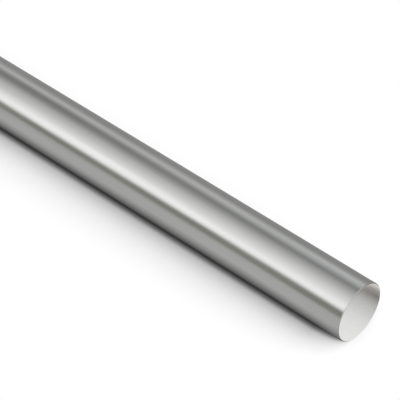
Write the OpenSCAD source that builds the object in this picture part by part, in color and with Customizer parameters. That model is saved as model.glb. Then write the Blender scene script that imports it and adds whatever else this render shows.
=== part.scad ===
// Solid round metal bar: one length of polished steel stock, cut square and chamfered at both
// ends. It lies along X with its lowest line on Z = 0, and its middle is over the origin.

/* [Bar] */
// Diameter of the bar
bar_d = 30; // [10:1:80]
// Length of the bar, from one end face to the other
bar_l = 500; // [100:50:3000]

/* [Ends] */
// Length of the chamfer, measured along the bar
chamfer_l = 0.5; // [0.2:0.1:2]
// Angle between the chamfer and the bar's axis
chamfer_angle = 45; // [30:5:60]

/* [Hidden] */
$fn = 96;

bar_r = bar_d / 2;
chamfer_h = chamfer_l * tan(chamfer_angle);
end_face_r = bar_r - chamfer_h;

// Half of the bar's lengthwise section: X is the radius, Y runs along the bar
module half_section() {
    polygon([
        [0, 0],
        [end_face_r, 0],
        [bar_r, chamfer_l],
        [bar_r, bar_l - chamfer_l],
        [end_face_r, bar_l],
        [0, bar_l]
    ]);
}

// The bar, turned about its own axis and laid down along X
module round_bar() {
    color("silver")
        translate([-bar_l / 2, 0, bar_r])
            rotate([0, 90, 0])
                rotate_extrude()
                    half_section();
}

round_bar();
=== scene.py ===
"""A round bar of polished steel stock, lying on a white studio floor."""

import math

import bmesh
import bpy
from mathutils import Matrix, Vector


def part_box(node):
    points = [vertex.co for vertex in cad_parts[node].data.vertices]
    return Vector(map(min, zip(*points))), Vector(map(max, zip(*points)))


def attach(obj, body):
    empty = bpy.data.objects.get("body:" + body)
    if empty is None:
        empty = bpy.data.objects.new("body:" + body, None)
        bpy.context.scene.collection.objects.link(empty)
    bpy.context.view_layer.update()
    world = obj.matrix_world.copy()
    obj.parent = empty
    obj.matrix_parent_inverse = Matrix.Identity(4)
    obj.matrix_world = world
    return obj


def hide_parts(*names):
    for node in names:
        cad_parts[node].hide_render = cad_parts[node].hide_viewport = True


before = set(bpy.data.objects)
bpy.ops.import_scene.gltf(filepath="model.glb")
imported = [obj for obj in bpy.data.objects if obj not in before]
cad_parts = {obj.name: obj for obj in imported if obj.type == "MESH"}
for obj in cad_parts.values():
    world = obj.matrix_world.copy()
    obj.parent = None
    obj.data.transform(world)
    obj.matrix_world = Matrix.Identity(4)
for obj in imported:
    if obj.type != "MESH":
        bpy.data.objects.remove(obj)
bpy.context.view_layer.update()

# Camera
# It looks down on the bar's near end from the side, from about a metre away. Its place is
# given from the middle of the near end face, in bar radii, so that it follows the bar's size.
bar_low, bar_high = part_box("round_bar")
bar_r = (bar_high.z - bar_low.z) / 2
near_end = Vector((bar_high.x, 0, bar_low.z + bar_r))
camera_azimuth, camera_elevation = math.radians(41.6), math.radians(43.4)
camera_back, camera_right, camera_up = 69.0, -4.74, 3.34
lens_mm, sensor_mm = 209.3, 36
closest_seen = 0.01

toward_camera = Vector((
    math.sin(camera_azimuth) * math.cos(camera_elevation),
    -math.cos(camera_azimuth) * math.cos(camera_elevation),
    math.sin(camera_elevation),
))
right = Vector((math.cos(camera_azimuth), math.sin(camera_azimuth), 0))
up = toward_camera.cross(right)
from_near_end = toward_camera * camera_back + right * camera_right + up * camera_up
bpy.ops.object.camera_add()
camera = bpy.context.object
camera.name = "camera"
camera.location = near_end + bar_r * from_near_end
camera.rotation_euler = toward_camera.to_track_quat("Z", "Y").to_euler()
camera.data.sensor_width = sensor_mm
camera.data.lens = lens_mm
camera.data.clip_start = closest_seen
bpy.context.scene.camera = camera

# Bar
# One solid length of drawn steel bar, ground and polished along its length. Both ends are faced
# square in a lathe and chamfered, and the chamfer's two corners are broken with a fine file.
same_place = 1e-6


def from_axis(point):
    """Distance of a point of the bar from its axis."""
    return math.hypot(point.y, point.z - near_end.z)


bar_length = bar_high.x - bar_low.x
cad_points = [v.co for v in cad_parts["round_bar"].data.vertices]
end_face_r = max(from_axis(point) for point in cad_points if point.x > bar_high.x - same_place)
chamfer = bar_r - end_face_r
broken_corner = 0.15 * chamfer
sides_round_bar = 192
lengths_of_bar = 10
rings_on_end = 6
smooth_below = math.radians(30)
steel = (0.62, 0.62, 0.61)

bpy.ops.object.select_all(action="DESELECT")
bpy.ops.mesh.primitive_cylinder_add(
    vertices=sides_round_bar, radius=bar_r, depth=bar_length, end_fill_type="NGON",
    location=((bar_low.x + bar_high.x) / 2, 0, near_end.z), rotation=(0, math.pi / 2, 0),
)
bar = bpy.context.object
bar.name = "polished_bar"
bpy.ops.object.transform_apply(location=True, rotation=True, scale=True)


def select_edges(mesh, lengthwise):
    """Selects the edges that run along the bar, or else those that go round it."""
    bpy.ops.mesh.select_all(action="DESELECT")
    for edge in mesh.edges:
        one, other = (v.co for v in edge.verts)
        same_radius = abs(from_axis(one) - from_axis(other)) < same_place
        edge.select_set(same_radius and (abs(one.x - other.x) > same_place) == lengthwise)


bpy.ops.object.mode_set(mode="EDIT")
bpy.ops.mesh.select_mode(type="EDGE")
select_edges(bmesh.from_edit_mesh(bar.data), lengthwise=False)
bpy.ops.mesh.bevel(offset=chamfer, segments=1, affect="EDGES")
select_edges(bmesh.from_edit_mesh(bar.data), lengthwise=False)
bpy.ops.mesh.bevel(offset=broken_corner, segments=3, affect="EDGES")
select_edges(bmesh.from_edit_mesh(bar.data), lengthwise=True)
bpy.ops.mesh.subdivide(number_cuts=lengths_of_bar - 1)

bpy.ops.mesh.select_mode(type="FACE")
bpy.ops.mesh.select_all(action="DESELECT")
for face in bmesh.from_edit_mesh(bar.data).faces:
    face.select_set(len(face.verts) == sides_round_bar)
for ring in range(rings_on_end):
    bpy.ops.mesh.inset(thickness=end_face_r / (rings_on_end + 1))
bpy.ops.mesh.poke()
bpy.ops.object.mode_set(mode="OBJECT")
bpy.ops.object.shade_smooth_by_angle(angle=smooth_below)

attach(bar, "root")
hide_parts("round_bar")


def feed(links, socket, value):
    """Links another node's output to a socket, or sets a number, vector or colour on it."""
    if isinstance(value, bpy.types.NodeSocket):
        links.new(value, socket)
    else:
        socket.default_value = value


def chain(nodes, links, operation, *values):
    """A Math node whose inputs are numbers or the outputs of other nodes."""
    node = nodes.new("ShaderNodeMath")
    node.operation = operation
    for socket, value in zip(node.inputs, values):
        feed(links, socket, value)
    return node.outputs[0]


def blend(nodes, links, factor, low, high):
    """A colour that goes from low to high with the factor."""
    mix = nodes.new("ShaderNodeMixRGB")
    feed(links, mix.inputs["Fac"], factor)
    feed(links, mix.inputs["Color1"], low)
    feed(links, mix.inputs["Color2"], high)
    return mix.outputs["Color"]


def span(nodes, links, value, low, high, least=0, most=1):
    """Spreads the value's range from low to high over the range from least to most."""
    node = nodes.new("ShaderNodeMapRange")
    links.new(value, node.inputs["Value"])
    node.inputs["From Min"].default_value = low
    node.inputs["From Max"].default_value = high
    node.inputs["To Min"].default_value = least
    node.inputs["To Max"].default_value = most
    return node.outputs[0]


def place_on(nodes, links, grain=(1, 1, 1), tilt=0):
    """A place from the middle of the bar's axis, in steps of that many metres along X, Y and Z.

    With a tilt, Y and Z are turned by that angle about the axis.
    """
    mapping = nodes.new("ShaderNodeMapping")
    mapping.vector_type = "TEXTURE"
    mapping.inputs["Location"].default_value = (0, 0, near_end.z)
    mapping.inputs["Rotation"].default_value = (tilt, 0, 0)
    mapping.inputs["Scale"].default_value = grain
    links.new(nodes.new("ShaderNodeTexCoord").outputs["Object"], mapping.inputs["Vector"])
    return mapping.outputs[0]


def full_noise(nodes, links, noise):
    """A Noise node's values at a scale of 1, where most lie near the middle, spread over 0 to 1."""
    noise.inputs["Scale"].default_value = 1
    return span(nodes, links, noise.outputs["Fac"], low=0.3, high=0.7)


def patches(nodes, links, grain, detail):
    """Noise from 0 to 1 in patches of that size along X, Y and Z, in metres."""
    noise = nodes.new("ShaderNodeTexNoise")
    noise.inputs["Detail"].default_value = detail
    links.new(place_on(nodes, links, grain), noise.inputs["Vector"])
    return full_noise(nodes, links, noise)


def turned_rings(nodes, links, pitch, detail):
    """Noise from 0 to 1 in rings round the axis, about that far apart, in metres."""
    place = nodes.new("ShaderNodeSeparateXYZ")
    links.new(place_on(nodes, links), place.inputs[0])
    square = chain(nodes, links, "MULTIPLY", place.outputs["Y"], place.outputs["Y"])
    square = chain(nodes, links, "MULTIPLY_ADD", place.outputs["Z"], place.outputs["Z"], square)
    radius = chain(nodes, links, "SQRT", square)
    noise = nodes.new("ShaderNodeTexNoise")
    noise.noise_dimensions = "1D"
    noise.inputs["Detail"].default_value = detail
    links.new(chain(nodes, links, "DIVIDE", radius, pitch), noise.inputs["W"])
    return full_noise(nodes, links, noise)


def new_steel(name):
    """An empty material of bare metal, with its nodes, links and shader."""
    material = bpy.data.materials.new(name)
    material.use_nodes = True
    nodes, links = material.node_tree.nodes, material.node_tree.links
    nodes["Principled BSDF"].inputs["Metallic"].default_value = 1
    return material, nodes, links, nodes["Principled BSDF"]


def shade_steel(nodes, links, shader, pattern, change):
    """Makes the steel darker and paler by that share of its colour, as the pattern goes."""
    darker = (*(part * (1 - change) for part in steel), 1)
    paler = (*(part * (1 + change) for part in steel), 1)
    links.new(blend(nodes, links, pattern, darker, paler), shader.inputs["Base Color"])


def roughen_steel(nodes, links, shader, clouds, least, most, lines, added):
    """Roughness from least to most as the clouds go, with some added where the lines are."""
    rough = span(nodes, links, clouds, low=0, high=1, least=least, most=most)
    rough = chain(nodes, links, "MULTIPLY_ADD", lines, added, rough)
    links.new(rough, shader.inputs["Roughness"])


def relief(nodes, links, height, depth, under=None):
    """Bump of that depth in metres, on top of any bump under it."""
    bump = nodes.new("ShaderNodeBump")
    bump.inputs["Distance"].default_value = depth
    links.new(height, bump.inputs["Height"])
    if under:
        links.new(under, bump.inputs["Normal"])
    return bump.outputs[0]


def polished_steel():
    """The round side: fine lines and wider streaks from the polishing belt, and faint clouds."""
    material, nodes, links, shader = new_steel("polished_steel")
    lines = patches(nodes, links, grain=(0.03, 0.0004, 0.0004), detail=3)
    streaks = patches(nodes, links, grain=(0.12, 0.0025, 0.0025), detail=2)
    clouds = patches(nodes, links, grain=(0.03, 0.01, 0.01), detail=4)
    shade_steel(nodes, links, shader, streaks, change=0.03)
    roughen_steel(nodes, links, shader, clouds, least=0.165, most=0.205, lines=lines, added=0.04)
    wavy = relief(nodes, links, streaks, depth=0.000002)
    lined = relief(nodes, links, lines, depth=0.0000018, under=wavy)
    links.new(lined, shader.inputs["Normal"])
    return material


def faced_steel():
    """The flat ends: fine rings left by the lathe's tool, and a few faint cloudy patches."""
    material, nodes, links, shader = new_steel("faced_steel")
    rings = turned_rings(nodes, links, pitch=0.0002, detail=3)
    clouds = patches(nodes, links, grain=(0.006, 0.006, 0.006), detail=3)
    shade_steel(nodes, links, shader, rings, change=0.02)
    roughen_steel(nodes, links, shader, clouds, least=0.22, most=0.26, lines=rings, added=0.04)
    ringed = relief(nodes, links, rings, depth=0.0000004)
    links.new(ringed, shader.inputs["Normal"])
    return material


bar.data.materials.append(polished_steel())
bar.data.materials.append(faced_steel())
# The chamfers are turned with the ends, so they have the ends' finish.
for face in bar.data.polygons:
    if abs(face.center.x) > bar_length / 2 - chamfer:
        face.material_index = 1

# Floor
# A matt white table, wide enough to run past every view. The camera sees it as plain white,
# but for the soft shadow that gathers under the bar, and the metal shows it greyer.
floor_size = 40
floor_white = (0.9, 0.9, 0.9, 1)
lean_of_light = math.radians(30)
shadow_reach = 10 * bar_r
shadow_samples = 64
# The shadow's levels by how open a place is to the light, first beside the bar and then at its
# ends, where the shadow is lighter. It turns lighter between the two distances from the middle.
floor_shades = (
    (0.28, 0.02), (0.36, 0.18), (0.42, 0.47), (0.54, 0.64), (0.63, 0.76), (0.70, 0.85), (0.85, 1),
)
shades_at_ends = (
    (0.28, 0.07), (0.32, 0.23), (0.35, 0.36), (0.39, 0.54), (0.42, 0.65), (0.46, 0.70), (0.51, 0.77),
    (0.57, 0.83), (0.64, 0.87), (0.73, 0.92), (0.85, 1),
)
lighter_from = bar_length / 2 - 1.2 * bar_r
lighter_to = bar_length / 2 - 0.2 * bar_r
# The floor's levels in the metal, by the distance in bar radii, from in front of the bar's axis
# to behind it
floor_in_metal = (
    (-8, 0.56), (-2.3, 0.58), (-1.6, 0.49), (-1.2, 0.34), (-0.7, 0.17), (0.8, 0.34), (8, 0.34),
)
bpy.ops.mesh.primitive_plane_add(size=floor_size, location=(0, 0, bar_low.z))
floor = bpy.context.object
floor.name = "studio_floor"


def ramp_of(nodes, links, value, stops):
    """Colour by a value, and the brightest stop's level, which the colour is to be multiplied by.

    Each stop is a value, a level and, where it isn't neutral, a tint.
    """
    first, last = stops[0][0], stops[-1][0]
    brightest = max(stop[1] for stop in stops)
    ramp = nodes.new("ShaderNodeValToRGB")
    links.new(span(nodes, links, value, first, last), ramp.inputs[0])
    elements = ramp.color_ramp.elements
    elements.remove(elements[1])
    for number, (place, level, *tint) in enumerate(stops):
        position = (place - first) / (last - first)
        stop = elements[0] if number == 0 else elements.new(position)
        stop.position = position
        stop.color = (*(level / brightest * part for part in (tint or [(1, 1, 1)])[0]), 1)
    return ramp.outputs[0], brightest


def across_bar(nodes, links, tilt=0):
    """Distance in front of the bar's axis, below zero, or behind it, in bar radii.

    With a tilt, the line along which it's measured rises by that angle toward the back.
    """
    place = nodes.new("ShaderNodeSeparateXYZ")
    links.new(place_on(nodes, links, (bar_r, bar_r, bar_r), tilt), place.inputs[0])
    return place.outputs["Y"]


def show(nodes, links, emitter, color, brightest):
    """Makes an emitter white to the camera, and of that colour where metal or glass shows it.

    Returns its strength, and whether a ray is one of those two kinds.
    """
    path = nodes.new("ShaderNodeLightPath")
    mirrored = chain(
        nodes, links, "ADD", path.outputs["Is Glossy Ray"], path.outputs["Is Transmission Ray"],
    )
    links.new(blend(nodes, links, mirrored, (1, 1, 1, 1), color), emitter.inputs["Color"])
    camera_ray = path.outputs["Is Camera Ray"]
    strength = chain(nodes, links, "MULTIPLY_ADD", mirrored, brightest, camera_ray)
    return strength, chain(nodes, links, "ADD", mirrored, camera_ray)


floor_paint = bpy.data.materials.new("white_floor")
floor_paint.use_nodes = True
nodes, links = floor_paint.node_tree.nodes, floor_paint.node_tree.links
nodes.remove(nodes["Principled BSDF"])
matt = nodes.new("ShaderNodeBsdfDiffuse")
matt.inputs["Color"].default_value = floor_white
toward_light = nodes.new("ShaderNodeCombineXYZ")
toward_light.inputs["X"].default_value = math.sin(lean_of_light)
toward_light.inputs["Z"].default_value = math.cos(lean_of_light)
open_sky = nodes.new("ShaderNodeAmbientOcclusion")
open_sky.inputs["Distance"].default_value = shadow_reach
open_sky.samples = shadow_samples
links.new(toward_light.outputs[0], open_sky.inputs["Normal"])
place = nodes.new("ShaderNodeSeparateXYZ")
links.new(place_on(nodes, links), place.inputs[0])
along = chain(nodes, links, "ABSOLUTE", place.outputs["X"])
near_ends = span(nodes, links, along, lighter_from, lighter_to)
beside = ramp_of(nodes, links, open_sky.outputs["AO"], floor_shades)[0]
at_ends = ramp_of(nodes, links, open_sky.outputs["AO"], shades_at_ends)[0]
shadow = blend(nodes, links, near_ends, beside, at_ends)
glow = nodes.new("ShaderNodeEmission")
grey, brightest = ramp_of(nodes, links, across_bar(nodes, links), floor_in_metal)
strength, shown = show(nodes, links, glow, grey, brightest)
links.new(chain(nodes, links, "MULTIPLY", shadow, strength), glow.inputs["Strength"])
surface = nodes.new("ShaderNodeMixShader")
links.new(shown, surface.inputs[0])
links.new(matt.outputs[0], surface.inputs[1])
links.new(glow.outputs[0], surface.inputs[2])
links.new(surface.outputs[0], nodes["Material Output"].inputs["Surface"])
floor.data.materials.append(floor_paint)

# Reflection tubes
# A glowing open tube, no lamp, lies past each end of the bar, in line with it and no wider, so that
# the flat end face mirrors the tube's inside and the round side doesn't. Only the metal sees it. Its
# glow is shaded across, from white at its lower front to a dark line high at its back: a painted
# reflection, which puts that light and shade onto the end face.
pink = (1.05, 1.0, 0.96)
# Levels of the painted reflection across the tube, in bar radii, from its lower front to its upper
# back
painted_reflection_shades = (
    (-1, 1.19), (-0.85, 1.18), (-0.42, 1.12), (-0.14, 1.03), (0.07, 0.90), (0.28, 0.77),
    (0.42, 0.64), (0.55, 0.45, pink), (0.67, 0.27, pink), (0.83, 0.46, pink), (0.97, 1.00, pink),
)
tube_tilt = math.radians(38)
tube_length = 8 * bar_r
tube_r = end_face_r + 0.3 * chamfer
# The tube's glowing material, which paints the reflection in the end faces
reflection_tube_glow = bpy.data.materials.new("painted_reflection_glow")
reflection_tube_glow.use_nodes = True
nodes, links = reflection_tube_glow.node_tree.nodes, reflection_tube_glow.node_tree.links
nodes.remove(nodes["Principled BSDF"])
glow = nodes.new("ShaderNodeEmission")
color, brightest = ramp_of(nodes, links, across_bar(nodes, links, tube_tilt), painted_reflection_shades)
links.new(color, glow.inputs["Color"])
glow.inputs["Strength"].default_value = brightest
links.new(glow.outputs[0], nodes["Material Output"].inputs["Surface"])

# The far tube is the near one turned about, so each end looks the same from its own side.
for name, turn in (("tube_near_end", 0), ("tube_far_end", math.pi)):
    bpy.ops.mesh.primitive_cylinder_add(
        vertices=sides_round_bar, radius=tube_r, depth=tube_length, end_fill_type="NOTHING",
        location=near_end + Vector((tube_length / 2, 0, 0)), rotation=(0, math.pi / 2, 0),
    )
    bpy.ops.object.transform_apply(location=True, rotation=True)
    tube = bpy.context.object
    tube.name = name
    tube.rotation_euler.z = turn
    tube.data.materials.append(reflection_tube_glow)
    tube.visible_camera = tube.visible_diffuse = tube.visible_shadow = False

# Studio light
# A long soft lamp hangs over the front of the bar and a pale wall stands behind it, with dark
# gaps beside both, and a fainter lamp lights each end. The metal mirrors them as soft lines
# along its length, and everything else is lit by one even level.
soft_level = 0.8
lamp_level = 1.38
end_lamp_level = 0.95
cool = (0.96, 1.0, 0.99)
olive = (1.0, 1.0, 0.9)
# Levels by the angle in degrees, from level behind the bar, over the top, to level in front of it
studio_shades = (
    (0, 0.30), (20, 0.45), (36, 0.75, cool), (50, 0.54, cool), (62, 0.26, cool), (75, 0.44),
    (86, 0.60), (97, 0.76), (118, 1.05), (138, lamp_level), (150, 1.20), (157, 0.32, olive),
    (164, 0.24, olive), (172, 0.29, olive), (180, 0.37, olive),
)
# The light that the bar's far part mirrors comes from farther aside, where the lamp and the dark
# gap behind it are wider.
shades_aside = (
    (0, 0.30), (20, 0.45), (33, 0.68), (42, 0.53), (54, 0.26), (66, 0.25), (78, 0.43), (90, 0.64),
    (102, 0.76), (113, 0.90), (124, 1.04), (135, 1.33), (142, lamp_level), (148, 1.36),
    (154, 1.20), (161, 0.32, olive), (168, 0.24, olive), (180, 0.37, olive),
)
# How far a light is turned along the bar, from 0 square to it to 1 in line with it: where the
# shades aside take over, and the middle of each end lamp. The lamp is full up to one distance
# from its middle and fades out at the other, and it covers the shades only by its share.
aside_from, aside_to = 0.43, 0.53
end_lamp_middle, end_lamp_full, end_lamp_edge = 0.87, 0.05, 0.16
end_lamp_share = 0.65
world = bpy.data.worlds.new("studio")
bpy.context.scene.world = world
world.use_nodes = True
nodes, links = world.node_tree.nodes, world.node_tree.links
soft_light = nodes["Background"]
soft_light.inputs["Color"].default_value = (1, 1, 1, 1)
soft_light.inputs["Strength"].default_value = soft_level
direction = nodes.new("ShaderNodeSeparateXYZ")
links.new(nodes.new("ShaderNodeTexCoord").outputs["Generated"], direction.inputs[0])
angle = chain(nodes, links, "ARCTAN2", direction.outputs["Z"], direction.outputs["Y"])
angle = chain(nodes, links, "DEGREES", angle)
along = chain(nodes, links, "ABSOLUTE", direction.outputs["X"])
aside = span(nodes, links, along, aside_from, aside_to)
color_over = ramp_of(nodes, links, angle, studio_shades)[0]
color_aside = ramp_of(nodes, links, angle, shades_aside)[0]
color = blend(nodes, links, aside, color_over, color_aside)
off_lamp = chain(nodes, links, "ABSOLUTE", chain(nodes, links, "SUBTRACT", along, end_lamp_middle))
lit = span(nodes, links, off_lamp, end_lamp_edge, end_lamp_full, most=end_lamp_share)
end_lamp = end_lamp_level / lamp_level
color = blend(nodes, links, lit, color, (end_lamp, end_lamp, end_lamp, 1))
studio = nodes.new("ShaderNodeBackground")
strength, shown = show(nodes, links, studio, color, lamp_level)
links.new(strength, studio.inputs["Strength"])
surroundings = nodes.new("ShaderNodeMixShader")
links.new(shown, surroundings.inputs[0])
links.new(soft_light.outputs[0], surroundings.inputs[1])
links.new(studio.outputs[0], surroundings.inputs[2])
links.new(surroundings.outputs[0], nodes["World Output"].inputs["Surface"])

bpy.context.scene.view_settings.view_transform = "Standard"
